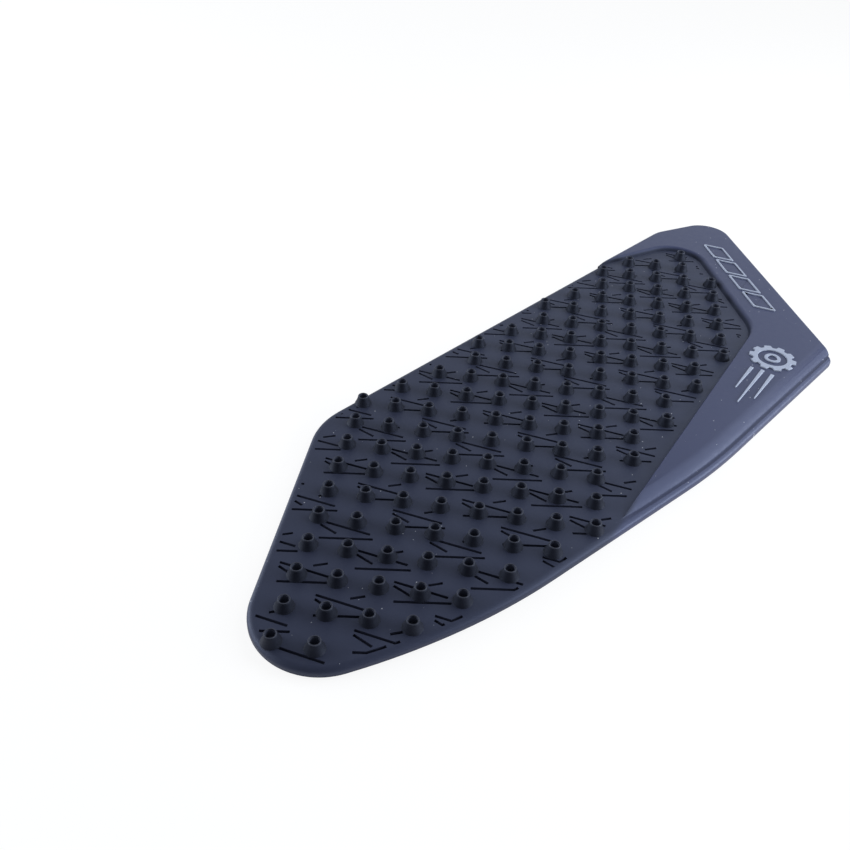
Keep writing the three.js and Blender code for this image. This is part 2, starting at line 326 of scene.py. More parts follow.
def nearest(line, places, closed=False):
    """For each place, how far a line of points is, and the line's nearest point."""
    start = line if closed else line[:-1]
    side = (np.roll(line, -1, axis=0) if closed else line[1:])[:len(start)] - start
    gap = places[:, None, :] - start[None]
    share = np.clip((gap * side).sum(axis=2) / (side ** 2).sum(axis=1), 0, 1)
    feet = start[None] + share[:, :, None] * side
    distance = np.linalg.norm(feet - places[:, None, :], axis=2)
    best = distance.argmin(axis=1)
    rows = np.arange(len(places))
    return distance[rows, best], feet[rows, best]


def inside(polygon, places):
    """Which places lie inside a closed line of points."""
    a = polygon[None]
    b = np.roll(polygon, -1, axis=0)[None]
    x = places[:, :1]
    y = places[:, 1:]
    straddles = (a[..., 1] > y) != (b[..., 1] > y)
    rise = np.where(straddles, b[..., 1] - a[..., 1], 1)
    crossing = a[..., 0] + (b[..., 0] - a[..., 0]) * (y - a[..., 1]) / rise
    return (straddles & (x < crossing)).sum(axis=1) % 2 == 1


lower_arcs = np.concatenate((
    rounded(TIP, BELLY, FLANK, LONG_ARC_STEP),
    rounded(BELLY, FLANK, RIGHT_CORNER, LONG_ARC_STEP),
))
outline = np.concatenate((
    rounded(HEEL, TIP, BELLY),
    lower_arcs,
    rounded(FLANK, RIGHT_CORNER, TOP_CORNER),
    rounded(RIGHT_CORNER, TOP_CORNER, SHOULDER),
    rounded(TOP_CORNER, SHOULDER, HEEL),
    rounded(SHOULDER, HEEL, TIP),
))
PLAN_CENTRE = (outline.min(axis=0) + outline.max(axis=0)) / 2

run_on = unit(np.array(RIGHT_CORNER[:2]) - FLANK[:2]) * (RIGHT_CORNER[2] + RIM_WIDTH + VALLEY_SLOPE)
lower_side = np.vstack((TIP[:2], lower_arcs, np.array(RIGHT_CORNER[:2]) + run_on))
crease = np.vstack((
    CREASE_END,
    rounded(CREASE_END, HOOD, KNEE),
    rounded(HOOD, KNEE, CREASE_START),
    CREASE_START,
))
around_plateau = np.array(((FAR, CREASE_START[1]), (FAR, FAR), (CREASE_END[0], FAR)))
above_pad = np.array(((FAR, FAR), (-FAR, FAR), (-FAR, TIP[1])))


# Mesh making

def shown(obj):
    bpy.context.scene.collection.objects.link(obj)
    return obj


def to_frame(points):
    """Points of the drawing, in the shared frame and in metres."""
    return ((np.asarray(points, float) - (*PLAN_CENTRE, 0)) * MM).tolist()


def mesh_object(name, points, edges, faces):
    mesh = bpy.data.meshes.new(name)
    mesh.from_pydata(to_frame(points), edges, faces)
    return shown(bpy.data.objects.new(name, mesh))


def loft(name, rings):
    """A closed skin over rings of plan points, given as (height, points) from the lowest up."""
    count = len(rings[0][1])
    points = np.concatenate([np.column_stack((line, np.full(count, height))) for height, line in rings])
    faces = [tuple(reversed(range(count)))]
    for level in range(len(rings) - 1):
        for k in range(count):
            a = level * count + k
            b = level * count + (k + 1) % count
            faces.append((a, b, b + count, a + count))
    top = (len(rings) - 1) * count
    faces.append(tuple(range(top, top + count)))
    return mesh_object(name, points, [], faces)


def baked(obj):
    """The object with its modifiers worked into a plain mesh."""
    graph = bpy.context.evaluated_depsgraph_get()
    mesh = bpy.data.meshes.new_from_object(obj.evaluated_get(graph))
    obj.modifiers.clear()
    obj.data = mesh
    return obj


def combined(obj, operation, other):
    """The object joined with, cut by or kept inside another closed one, which is used up."""
    change = obj.modifiers.new(operation.lower(), "BOOLEAN")
    change.solver = "MANIFOLD"
    change.operation = operation
    change.object = other
    baked(obj)
    bpy.data.objects.remove(other)
    return obj


def one_object(name, objects):
    """Several objects' meshes as one."""
    points = []
    faces = []
    for obj in objects:
        first = len(points)
        points += [tuple(v.co) for v in obj.data.vertices]
        faces += [tuple(first + k for k in face.vertices) for face in obj.data.polygons]
        bpy.data.objects.remove(obj)
    mesh = bpy.data.meshes.new(name)
    mesh.from_pydata(points, [], faces)
    return shown(bpy.data.objects.new(name, mesh))


# Node trees

class Value:
    """One output of a node. Arithmetic on it adds Math nodes to its tree."""

    def __init__(self, tree, socket):
        self.tree = tree
        self.socket = socket

    def __add__(self, other):
        return self.tree.math("ADD", self, other)

    def __sub__(self, other):
        return self.tree.math("SUBTRACT", self, other)

    def __rsub__(self, other):
        return self.tree.math("SUBTRACT", other, self)

    def __mul__(self, other):
        return self.tree.math("MULTIPLY", self, other)

    def __lt__(self, other):
        return self.tree.math("LESS_THAN", self, other)

    def __gt__(self, other):
        return self.tree.math("GREATER_THAN", self, other)

    __radd__ = __add__
    __rmul__ = __mul__


class Tree:
    """A node tree that is built by adding nodes whose settings and sockets are given at once."""

    def __init__(self, tree):
        self.tree = tree

    def add(self, kind, settings=None, sockets=None):
        """A new node: its settings are set first, then its sockets get values or links.

        The setting "items" is how many items an index switch has.
        """
        node = self.tree.nodes.new(kind)
        for name, value in (settings or {}).items():
            if name == "items":
                while len(node.index_switch_items) < value:
                    node.index_switch_items.new()
            else:
                setattr(node, name, value)
        for key, value in (sockets or {}).items():
            if isinstance(value, Value):
                self.tree.links.new(value.socket, node.inputs[key])
            else:
                node.inputs[key].default_value = value
        return node

    def out(self, node, key=0):
        return Value(self, node.outputs[key])

    def math(self, operation, *values):
        return self.out(self.add("ShaderNodeMath", {"operation": operation}, dict(enumerate(values))))


def shape_tree(name, sizes):
    """A Geometry Nodes tree with a geometry in and out and one named input for each size."""
    group = bpy.data.node_groups.new(name, "GeometryNodeTree")
    group.interface.new_socket("Geometry", in_out="INPUT", socket_type="NodeSocketGeometry")
    group.interface.new_socket("Geometry", in_out="OUTPUT", socket_type="NodeSocketGeometry")
    for size in sizes:
        group.interface.new_socket(size, in_out="INPUT", socket_type="NodeSocketFloat")
    tree = Tree(group)
    given = tree.add("NodeGroupInput")
    return tree, {socket.name: Value(tree, socket) for socket in given.outputs if socket.name}


def finished_shape(tree, geometry, material):
    """Ends a shape tree: instances made real, one material."""
    real = tree.out(tree.add("GeometryNodeRealizeInstances", {}, {"Geometry": geometry}))
    painted = tree.add("GeometryNodeSetMaterial", {}, {"Geometry": real, "Material": material})
    tree.add("NodeGroupOutput", {}, {0: tree.out(painted)})
    return tree.tree


def shaped(obj, group, sizes):
    """The object's mesh as a shape tree makes it with these sizes, in metres."""
    modifier = obj.modifiers.new(group.name, "NODES")
    modifier.node_group = group
    names = {item.name: item.identifier for item in group.interface.items_tree if item.in_out == "INPUT"}
    for name, size in sizes.items():
        modifier[names[name]] = size
    return baked(obj)


# Materials

def material_tree(name):
    material = bpy.data.materials.new(name)
    material.use_nodes = True
    material.node_tree.nodes.clear()
    return material, Tree(material.node_tree)


def noise(tree, where, scale, detail):
    sockets = {"Vector": where, "Scale": scale, "Detail": detail}
    return tree.out(tree.add("ShaderNodeTexNoise", {}, sockets))


def blend(tree, share, a, b):
    mixed = tree.add("ShaderNodeMix", {"data_type": "RGBA"}, {0: share, 6: a, 7: b})
    return tree.out(mixed, 2)


def bumps(tree, relief, strength):
    sockets = {"Strength": strength, "Distance": BUMP_DISTANCE, "Height": relief}
    return tree.out(tree.add("ShaderNodeBump", {}, sockets))


def specks_of_dust(tree, where):
    """A mask of small spots of several sizes, scattered in plan."""
    cells = tree.add("ShaderNodeTexVoronoi", {"voronoi_dimensions": "2D"}, {
        "Vector": where,
        "Scale": DUST_CELLS,
    })
    parts = tree.add("ShaderNodeSeparateColor", {}, {0: tree.out(cells, "Color")})
    size_share = tree.out(parts, "Green") * (1 - DUST_LEAST) + DUST_LEAST
    size = size_share * (DUST_SIZE * DUST_CELLS)
    return (tree.out(cells, "Distance") < size) * (tree.out(parts, "Red") > 1 - 1 / DUST_ONE_IN)


def near(tree, value, middle, half):
    """1 within a band, given by its middle and half its width, and 0 elsewhere."""
    return tree.math("ABSOLUTE", value - middle) < half


def eased(tree, value, low, high):
    """A share that goes softly from 0 to 1 while the value goes from low to high."""
    ranged = tree.add("ShaderNodeMapRange", {"interpolation_type": "SMOOTHSTEP"}, {
        "Value": value, "From Min": low, "From Max": high,
    })
    return tree.out(ranged)


def past_line(tree, where, first, last):
    """How far the place lies to the left of a plan line, in metres."""
    start, end = to_frame([(*first[:2], 0), (*last[:2], 0)])
    along = unit(np.array(end) - start)
    left = (-along[1], along[0], 0)
    product = tree.add("ShaderNodeVectorMath", {"operation": "DOT_PRODUCT"}, {0: where, 1: left})
    return tree.out(product, "Value") - float(np.dot(start, left))


def border_share(tree, where):
    """0 on the studded field and 1 on the plateau and on the rim beside its spike.

    The second value is 1 on the wall that the field ends at, where painted shade darkens it.
    """
    parts = tree.add("ShaderNodeSeparateXYZ", {}, {0: where})
    height = tree.out(parts, "Z")
    up = eased(tree, height, (FIELD + BORDER_START) * MM, (FIELD + BORDER_FULL) * MM)
    foot = eased(tree, height, (FIELD + SHADE_START) * MM, (FIELD + SHADE_FULL) * MM)
    beside_spike = eased(tree, past_line(tree, where, KNEE, CREASE_START), 0.0, SPIKE_FADE * MM)
    return tree.math("MAXIMUM", up, beside_spike), foot * (1 - up) * (1 - beside_spike)


def rubber(name, finish, border_finish=None, dust=False, grain=0.25, lip=0.0, shine=0.5):
    """Matt moulded rubber: cloudy colour, fine grain and, where asked for, specks of dust.

    Where a border finish is given, it takes over beyond the crease, and painted shade darkens
    the wall at the field's edge. The lip is how strongly a pale painted highlight lies on the
    studs' top edge, and the shine is the level of the gloss.
    """
    material, tree = material_tree(name)
    where = tree.out(tree.add("ShaderNodeTexCoord"), "Object")
    cloud = noise(tree, where, CLOUD_SCALE, 3.0)
    mottle = noise(tree, where, MOTTLE_SCALE, 4.0)
    fine = noise(tree, where, FINE_SCALE, 2.0)
    share = cloud * CLOUD_SHARE + mottle * (1 - CLOUD_SHARE)
    dark, light, roughness = finish
    colour = blend(tree, share, (*dark, 1), (*light, 1))
    least_roughness = roughness - (MOTTLE_ROUGHNESS + FINE_ROUGHNESS) / 2
    rough = mottle * MOTTLE_ROUGHNESS + fine * FINE_ROUGHNESS + least_roughness
    if border_finish:
        dark, light, border_roughness = border_finish
        border, wall = border_share(tree, where)
        colour = blend(tree, border, colour, blend(tree, share, (*dark, 1), (*light, 1)))
        # Painted shade on the wall where the field ends
        colour = blend(tree, wall * SHADE_SHARE, colour, SHADE_COLOUR)
        rough = rough + border * (border_roughness - roughness) + wall * SHADE_ROUGHNESS
    # Painted highlight: the studs' top edge is made pale, as where light catches it
    if lip:
        height = tree.out(tree.add("ShaderNodeSeparateXYZ", {}, {0: where}), "Z")
        lip_highlight_share = eased(tree, height, (STUD_LEVEL - LIP_HIGHLIGHT_START) * MM, (STUD_LEVEL - LIP_HIGHLIGHT_FULL) * MM)
        colour = blend(tree, lip_highlight_share * lip, colour, LIP_HIGHLIGHT_COLOUR)
    relief = fine * FINE_HEIGHT + mottle
    if dust:
        specks = specks_of_dust(tree, where) * (cloud > DUST_CLOUD)
        colour = blend(tree, specks, colour, DUST_COLOUR)
        relief = relief + specks * DUST_HEIGHT
    surface = tree.add("ShaderNodeBsdfPrincipled", {}, {
        "Base Color": colour,
        "Roughness": rough,
        "Normal": bumps(tree, relief, grain),
        "IOR": 1.5,
        "Specular IOR Level": shine,
        "Specular Tint": GLOSS_TINT,
    })
    tree.add("ShaderNodeOutputMaterial", {}, {"Surface": tree.out(surface)})
    return material


def clear_film():
    """Clear adhesive film with a faint haze."""
    material, tree = material_tree("clear_adhesive_film")
    where = tree.out(tree.add("ShaderNodeTexCoord"), "Object")
    haze = noise(tree, where, HAZE_SCALE, 3.0)
    surface = tree.add("ShaderNodeBsdfPrincipled", {}, {
        "Base Color": blend(tree, haze, *FILM_COLOURS),
        "Roughness": haze * 0.15 + 0.12,
        "Normal": bumps(tree, haze, 0.2),
        "IOR": 1.47,
        "Transmission Weight": 0.7,
    })
    tree.add("ShaderNodeOutputMaterial", {}, {"Surface": tree.out(surface)})
    return material


def printed_liner():
    """Coated pale pink paper with rows of plain green chevrons and thin lines."""
    material, tree = material_tree("printed_liner_paper")
    where = tree.out(tree.add("ShaderNodeTexCoord"), "Object")
    turned = tree.out(tree.add("ShaderNodeMapping", {}, {
        "Vector": where,
        "Rotation": (0, 0, math.radians(PRINT_TURN)),
        "Scale": (1 / PRINT_REPEAT[0], 1 / PRINT_REPEAT[1], 1),
    }))
    parts = tree.add("ShaderNodeSeparateXYZ", {}, {0: turned})
    down = tree.out(parts, "Y")
    along = tree.math("FRACT", tree.out(parts, "X") + tree.math("FLOOR", down) * PRINT_ROW_SHIFT)
    across = tree.math("FRACT", down)
    lean = tree.math("ABSOLUTE", across - CHEVRON_MIDDLE) * CHEVRON_LEAN
    in_stripe = tree.math("FRACT", (along + lean) * CHEVRON_COUNT) < CHEVRON_FILL
    chevrons = near(tree, across, CHEVRON_MIDDLE, CHEVRON_HALF) * (along < CHEVRON_END) * in_stripe
    upper_line, lower_line = (
        near(tree, across, middle, PRINT_LINE_HALF) * (along < end)
        for middle, end in PRINT_LINES
    )
    in_dash = tree.math("FRACT", along * PRINT_LINE_DASHES) < PRINT_LINE_FILL
    print_share = tree.math("MINIMUM", chevrons + (upper_line + lower_line) * in_dash, 1.0)
    fibres = noise(tree, where, FIBRE_SCALE, 5.0)
    clouds = noise(tree, where, PAPER_CLOUD_SCALE, 2.0)
    paper = blend(tree, fibres * 0.5 + clouds * 0.5, *PAPER_COLOURS)
    worn = print_share * (noise(tree, where, WEAR_SCALE, 2.0) * 0.5 + 0.6)
    colour = blend(tree, tree.math("MINIMUM", worn, 1.0), paper, PRINT_COLOUR)
    surface = tree.add("ShaderNodeBsdfPrincipled", {}, {
        "Base Color": colour,
        "Roughness": fibres * 0.15 + 0.42,
        "Normal": bumps(tree, fibres, 0.3),
        "IOR": 1.45,
    })
    tree.add("ShaderNodeOutputMaterial", {}, {"Surface": tree.out(surface)})
    return material


# The pad's body

def quarter_round(across, rise):
    """A convex quarter ellipse as (distance inwards, height) from its foot to its crest."""
    turns = np.linspace(0, math.pi / 2, EDGE_STEPS + 1)
    return [(across * (1 - math.cos(t)), rise * math.sin(t)) for t in turns]


def hollow_foot(radius, angle):
    """A hollow arc that starts level and climbs to an angle, as (distance inwards, height)."""
    turns = np.linspace(0, angle, FOOT_POINTS)
    return [(radius * math.sin(t), radius * (1 - math.cos(t))) for t in turns]


def soft_wall(foot_radius, crest_radius, rise):
    """A hollow foot arc and a round crest arc, as (distance inwards, height)."""
    angle = math.acos(1 - rise / (foot_radius + crest_radius))
    width = (foot_radius + crest_radius) * math.sin(angle)
    crest = [
        (width - crest_radius * math.sin(t), rise - crest_radius * (1 - math.cos(t)))
        for t in np.linspace(angle, 0, WALL_STEPS + 1)[1:]
    ]
    return hollow_foot(foot_radius, angle) + crest


def slab():
    rings = [
        (PAD_BOTTOM, parallel(outline, UNDER_ROUND, True)),
        (PAD_BOTTOM + UNDER_ROUND, outline),
    ]
    rings += [
        (FIELD - EDGE_DROP + up, parallel(outline, across, True))
        for across, up in quarter_round(EDGE_ROUND, EDGE_DROP)
    ]
    return loft("pad", rings)


def swell(foot_radius, across, rise, power):
    """A hollow foot arc to 45 degrees and a long easing crest, as (distance inwards, height)."""
    foot = hollow_foot(foot_radius, math.pi / 4)
    x, z = foot[-1]
    crest = [
        (x + (across - x) * share, z + (rise - z) * (1 - (1 - share) ** power))
        for share in np.linspace(0, 1, VALLEY_STEPS + 1)[1:] ** VALLEY_STEP_POWER
    ]
    return foot + crest


def block_beside(name, line, far_corners, offset, share, profile):
    """All the ground to the left of a line, up to the plateau, with a shaped wall along it.

    The wall starts at the offset and takes the given share of its profile's width, both of which
    may change from one point of the line to the next.
    """
    rings = [(FIELD - EDGE_DROP, np.vstack((parallel(line, offset), far_corners)))]
    for across, up in profile:
        moved = parallel(line, offset + across * share)
        rings.append((FIELD + up, np.vstack((moved, far_corners))))
    return loft(name, rings)


def crease_change(first, last):
    """A value for each point of the crease that eases from one to another round the knee."""
    hood_count = len(rounded(CREASE_END, HOOD, KNEE))
    knee_count = len(rounded(HOOD, KNEE, CREASE_START))
    round_knee = (1 - np.cos(np.linspace(0, math.pi, knee_count))) / 2
    share = np.concatenate((np.zeros(1 + hood_count), round_knee, np.ones(1)))
    return first + (last - first) * share


def plateau():
    edge_rings = [(FIELD - EDGE_DROP, outline)]
    edge_rings += [
        (FIELD + up, parallel(outline, across, True))
        for across, up in quarter_round(PLATEAU_EDGE_ROUND, PLATEAU_RISE)
    ]
    wall = soft_wall(WALL_FOOT_RADIUS, WALL_CREST_RADIUS, PLATEAU_RISE)
    wall_offset = crease_change(WALL_OFFSET, SPIKE_WALL_OFFSET)
    wall_share = crease_change(1.0, SPIKE_WALL_SHARE)
    from_groove = swell(VALLEY_FOOT_RADIUS, VALLEY_SLOPE, PLATEAU_RISE + GROOVE_DEPTH, VALLEY_POWER)
    valley = [(across, up - GROOVE_DEPTH) for across, up in from_groove]
    edge = loft("plateau", edge_rings)
    past_crease = block_beside("past_crease", crease, around_plateau, wall_offset, wall_share, wall)
    in_valley = block_beside("in_valley", lower_side, above_pad, RIM_WIDTH, 1.0, valley)
    return combined(combined(edge, "INTERSECT", past_crease), "INTERSECT", in_valley)


def groove_cutter(material):
    """A round bar along the rim's inner side that goes deeper from the spike's tip on."""
    tree, given = shape_tree("groove_cutter", ("Radius",))
    line = tree.out(tree.add("GeometryNodeMeshToCurve", {}, {0: given["Geometry"]}))
    section = tree.add("GeometryNodeCurvePrimitiveCircle", {}, {
        "Resolution": GROOVE_SIDES,
        "Radius": given["Radius"],
    })
    bar = tree.add("GeometryNodeCurveToMesh", {}, {
        "Curve": line,
        "Profile Curve": tree.out(section),
        "Fill Caps": True,
    })
    group = finished_shape(tree, tree.out(bar), material)
    path = parallel(lower_side, RIM_WIDTH)
    length = np.concatenate(([0], np.cumsum(np.linalg.norm(np.diff(path, axis=0), axis=1))))
    tries = np.arange(0, length[-1], GROOVE_SEARCH_STEP)
    places = np.column_stack([np.interp(tries, length, path[:, k]) for k in (0, 1)])
    start = tries[nearest(crease, places)[0].argmin()]
    full = start + GROOVE_RUN_IN
    along = np.concatenate((np.arange(start, full, GROOVE_RUN_IN_STEP), length[length > full]))
    plan = np.column_stack([np.interp(along, length, path[:, k]) for k in (0, 1)])
    share = np.clip((along - start) / GROOVE_RUN_IN, GROOVE_LEAST_SHARE, 1)
    level = FIELD + GROOVE_RADIUS - GROOVE_DEPTH * np.sin(share * math.pi / 2)
    edges = [(k, k + 1) for k in range(len(along) - 1)]
    obj = mesh_object("groove", np.column_stack((plan, level)), edges, [])
    return shaped(obj, group, {"Radius": GROOVE_RADIUS * MM})


# Strokes

def stroke_paths():
    """Each stroke's plan points. It stops at the margins, but on the lower side it turns along it."""
    margin = parallel(outline, STROKE_MARGIN, True)
    blocked_field = np.vstack((parallel(crease, -STROKE_MARGIN), around_plateau))
    most = math.ceil(FAR / np.linalg.norm(STROKE_STEP_B))
    paths = []
    for a in range(-most, most + 1):
        for b in range(-most, most + 1):
            start = np.array(STROKE_START) + a * np.array(STROKE_STEP_A) + b * np.array(STROKE_STEP_B)
            if np.abs(start - PLAN_CENTRE).max() > STROKE_REACH:
                continue
            for first, last in STROKES:
                paths += clipped(start + first, start + last, margin, blocked_field)
    return paths


def clipped(first, last, margin, blocked_field):
    """The stretches of a straight stroke that lie in the field.

    One that runs past the margin of the lower side turns there and follows it for a while.
    """
    count = max(2, int(np.linalg.norm(last - first) / STROKE_TRY_STEP))
    points = first + np.linspace(0, 1, count)[:, None] * (last - first)
    in_margin = inside(margin, points)
    free = in_margin & ~inside(blocked_field, points)
    paths = []
    k = 0
    while k < count:
        if not free[k]:
            k += 1
            continue
        end = k
        while end + 1 < count and free[end + 1]:
            end += 1
        path = [points[k], points[end]]
        rest = points[end + 1:]
        leaves = len(rest) > HOOK_REST_POINTS and not in_margin[end + 1:].any()
        if leaves and end - k > HOOK_FREE_POINTS:
            hook_points = max(2, int(len(rest) * HOOK_SHARE))
            _, feet = nearest(margin, rest[:hook_points], True)
            if nearest(lower_side, feet[:1])[0][0] < STROKE_MARGIN + HOOK_TOLERANCE:
                path += [feet[len(feet) // 2], feet[-1]]
        if np.linalg.norm(points[end] - points[k]) > SHORTEST_STROKE:
            paths.append(path)
        k = end + 1
    return paths


def stroke_cutters(material):
    """One tapered bar along each stroke, from above the field down to the stroke's bottom."""
    tree, given = shape_tree("stroke_cutter", ("Width", "Depth", "Lift"))
    lines = tree.out(tree.add("GeometryNodeMeshToCurve", {}, {0: given["Geometry"]}))
    upright = tree.out(tree.add("GeometryNodeSetCurveNormal", {"mode": "Z_UP"}, {0: lines}))
    section = tree.add("GeometryNodeCurvePrimitiveQuadrilateral", {"mode": "TRAPEZOID"}, {
        "Height": given["Depth"] + given["Lift"],
        "Bottom Width": given["Width"] * (1 + STROKE_TAPER),
        "Top Width": given["Width"] * (1 - STROKE_TAPER),
        "Offset": 0.0,
    })
    bars = tree.add("GeometryNodeCurveToMesh", {}, {
        "Curve": upright,
        "Profile Curve": tree.out(section),
        "Fill Caps": True,
    })
    group = finished_shape(tree, tree.out(bars), material)
    points = []
    edges = []
    middle = FIELD + (STROKE_LIFT - STROKE_DEPTH) / 2
    for path in stroke_paths():
        edges += [(len(points) + k, len(points) + k + 1) for k in range(len(path) - 1)]
        points += [(x, y, middle) for x, y in path]
    obj = mesh_object("strokes", points, edges, [])
    sizes = {"Width": STROKE_WIDTH, "Depth": STROKE_DEPTH, "Lift": STROKE_LIFT}
    return shaped(obj, group, {name: size * MM for name, size in sizes.items()})


# Studs

def stud_places():
    """Plan centres of all studs: the grid's places that are clear of the edges and the crease."""
    most = math.ceil(FAR / STUD_PITCH)
    steps = np.arange(-most, most + 1) * STUD_PITCH
    places = np.array([(x, y) for y in steps for x in steps])
    past_crease = np.vstack((crease, around_plateau))
    stands = inside(outline, places) & ~inside(past_crease, places)
    stands &= nearest(outline, places, True)[0] > STUD_CLEARANCE["edge"]
    stands &= nearest(crease, places)[0] > STUD_CLEARANCE["crease"]
    return places[stands]


def stud_rows(given):
    """The stud's section as (radius, height) from its foot up the flank, over the lip and down."""
    base = given["Base"] * 0.5
    top = given["Top"] * 0.5
    hole = given["Hole"] * 0.5
    height = given["Height"]
    lip = STUD_LIP * MM
    foot = base + STUD_FOOT_MARGIN * MM
    rows = [(foot, given["Foot"] * -1), (foot, 0.0)]
    for share in STUD_FLANK_ROWS:
        rows.append((top + (base - top) * (1 - share) ** STUD_FLARE, height * share))
    rows.append((top, height - lip))
    rows.append((top - lip, height))
    rows.append((hole + STUD_HOLE_LIP_WIDTH * MM, height))
    rows.append((hole, height - STUD_HOLE_LIP_DROP * MM))
    rows.append((hole * STUD_HOLE_TAPER, height - given["Hole depth"]))
    return rows


def studs(material):
    """Hollow studs on the field, each turned and leant a little by a fixed seed."""
    sizes = {
        "Base": STUD_BASE, "Top": STUD_TOP, "Hole": STUD_HOLE, "Height": STUD_HEIGHT,
        "Hole depth": STUD_HOLE_DEPTH, "Foot": STUD_FOOT,
    }
    tree, given = shape_tree("hollow_studs", tuple(sizes))
    rows = stud_rows(given)
    tube = tree.add("GeometryNodeMeshCylinder", {}, {
        "Vertices": STUD_SIDES, "Side Segments": len(rows) - 1, "Radius": 1.0, "Depth": 1.0,
    })
    here = tree.add("ShaderNodeSeparateXYZ", {}, {0: tree.out(tree.add("GeometryNodeInputPosition"))})
    row = tree.math("ROUND", (tree.out(here, "Z") + 0.5) * (len(rows) - 1))
    chosen = []
    for column in (0, 1):
        values = {k + 1: pair[column] for k, pair in enumerate(rows)}
        settings = {"data_type": "FLOAT", "items": len(rows)}
        chosen.append(tree.out(tree.add("GeometryNodeIndexSwitch", settings, {0: row, **values})))
    radius, level = chosen
    place = tree.add("ShaderNodeCombineXYZ", {}, {
        "X": tree.out(here, "X") * radius, "Y": tree.out(here, "Y") * radius, "Z": level,
    })
    stud = tree.out(tree.add("GeometryNodeSetPosition", {}, {
        "Geometry": tree.out(tube, "Mesh"), "Position": tree.out(place),
    }))
    lean = tree.add("FunctionNodeRandomValue", {"data_type": "FLOAT_VECTOR"}, {
        0: (-STUD_LEAN, -STUD_LEAN, 0.0), 1: (STUD_LEAN, STUD_LEAN, 2 * math.pi), "Seed": STUD_SEED,
    })
    standing = tree.add("GeometryNodeInstanceOnPoints", {}, {
        "Points": given["Geometry"], "Instance": stud, "Rotation": tree.out(lean),
    })
    group = finished_shape(tree, tree.out(standing), material)
    points = [(x, y, FIELD) for x, y in stud_places()]
    obj = mesh_object("studs", points, [], [])
    return shaped(obj, group, {name: size * MM for name, size in sizes.items()})


# Raised ornaments

def raised(name, line):
    """A closed plan line as a low raised figure with bevelled top edges."""
    foot = PLATEAU - LINE_HEIGHT
    rings = [(foot, line), (PLATEAU + LINE_HEIGHT - LINE_BEVEL, line)]
    rings.append((PLATEAU + LINE_HEIGHT, parallel(line, LINE_BEVEL, True)))
    return loft(name, rings)


def recess(name, line):
    """The cutter for a raised figure's hole, wider at the top by the bevel."""
    rings = [(PLATEAU - 2 * LINE_HEIGHT, line), (PLATEAU + LINE_HEIGHT - LINE_BEVEL, line)]
    rings.append((PLATEAU + LINE_HEIGHT, parallel(line, -LINE_BEVEL, True)))
    rings.append((PLATEAU + 2 * LINE_HEIGHT, parallel(line, -LINE_BEVEL, True)))
    return loft(name, rings)


def circle(radius, centre):
    turns = np.arange(CIRCLE_SIDES) * 2 * math.pi / CIRCLE_SIDES
    return np.array(centre) + radius * np.column_stack((np.cos(turns), np.sin(turns)))


def rounded_polygon(corners, radius):
    count = len(corners)
    arcs = [
        rounded(corners[k - 1], (*corners[k], radius), corners[(k + 1) % count], CORNER_ARC_STEP)
        for k in range(count)
    ]
    return np.concatenate(arcs)


def bar_row():
    along = unit(np.array(RIGHT_CORNER[:2]) - TOP_CORNER[:2])
    inward = np.array((along[1], -along[0]))
    bars = []
    half = BAR_WIDTH / 2
    corners = [(0, -half), (BAR_LENGTH - BAR_SLANT, -half), (BAR_LENGTH, half), (BAR_SLANT, half)]
    for k in range(BAR_COUNT):
        run = BAR_ROW_START + k * (BAR_LENGTH - BAR_SLANT + BAR_GAP)
        start = np.array(TOP_CORNER[:2]) + along * run + inward * BAR_ROW_INSET
        placed = [tuple(start + along * x - inward * y) for x, y in corners]
        line = rounded_polygon(placed, BAR_CORNER)
        hole = recess("bar_hole", parallel(line, LINE_WIDTH, True))
        bars.append(combined(raised(f"bar_{k}", line), "DIFFERENCE", hole))
    return bars


def toothed_ring():
    turn = 2 * math.pi / RING_TEETH
    tip = RING_ROOT + RING_TOOTH
    corners = []
    for k in range(RING_TEETH):
        for radius, share in zip((RING_ROOT, tip, tip, RING_ROOT), TOOTH_SHARES):
            angle = (k + share) * turn
            x = RING_CENTRE[0] + radius * math.cos(angle)
            y = RING_CENTRE[1] + radius * math.sin(angle)
            corners.append((x, y))
    ring = raised("ring", rounded_polygon(corners, TOOTH_CORNER))
    hub = raised("hub", circle(HUB, RING_CENTRE))
    return [
        combined(ring, "DIFFERENCE", recess("ring_hole", circle(RING_HOLE, RING_CENTRE))),
        combined(hub, "DIFFERENCE", recess("hub_hole", circle(HUB_HOLE, RING_CENTRE))),
    ]


def dash_figures():
    heading = math.radians(DASH_HEADING)
    along = np.array((math.cos(heading), math.sin(heading)))
    left = np.array((-along[1], along[0]))
    figures = []
    for k, (start, end, side) in enumerate(DASHES):
        corners = [
            (start, side - DASH_ROOT / 2), (end, side - DASH_TIP / 2),
            (end, side + DASH_TIP / 2), (start, side + DASH_ROOT / 2),
        ]
        placed = [tuple(np.array(RING_CENTRE) + along * x + left * y) for x, y in corners]
        figures.append(raised(f"dash_{k}", rounded_polygon(placed, DASH_CORNER)))
    return figures


# Assembly

FINISHES = {
    "body": rubber("rubber_body", FIELD_RUBBER, BORDER_RUBBER, dust=True, grain=0.2),
    # The studs' top edge gets a painted highlight
    "studs": rubber("rubber_studs_painted_shade", SHADED_STUD_RUBBER, lip=0.9, shine=0.3),
    "holes": rubber("rubber_stud_holes_painted_light", LIT_HOLE_RUBBER),
    "strokes": rubber("rubber_strokes_painted_shade", SHADED_STROKE_RUBBER),
    "lines": rubber("rubber_lines", LINE_RUBBER),
}
FINISH_NUMBER = {name: k for k, name in enumerate(FINISHES)}


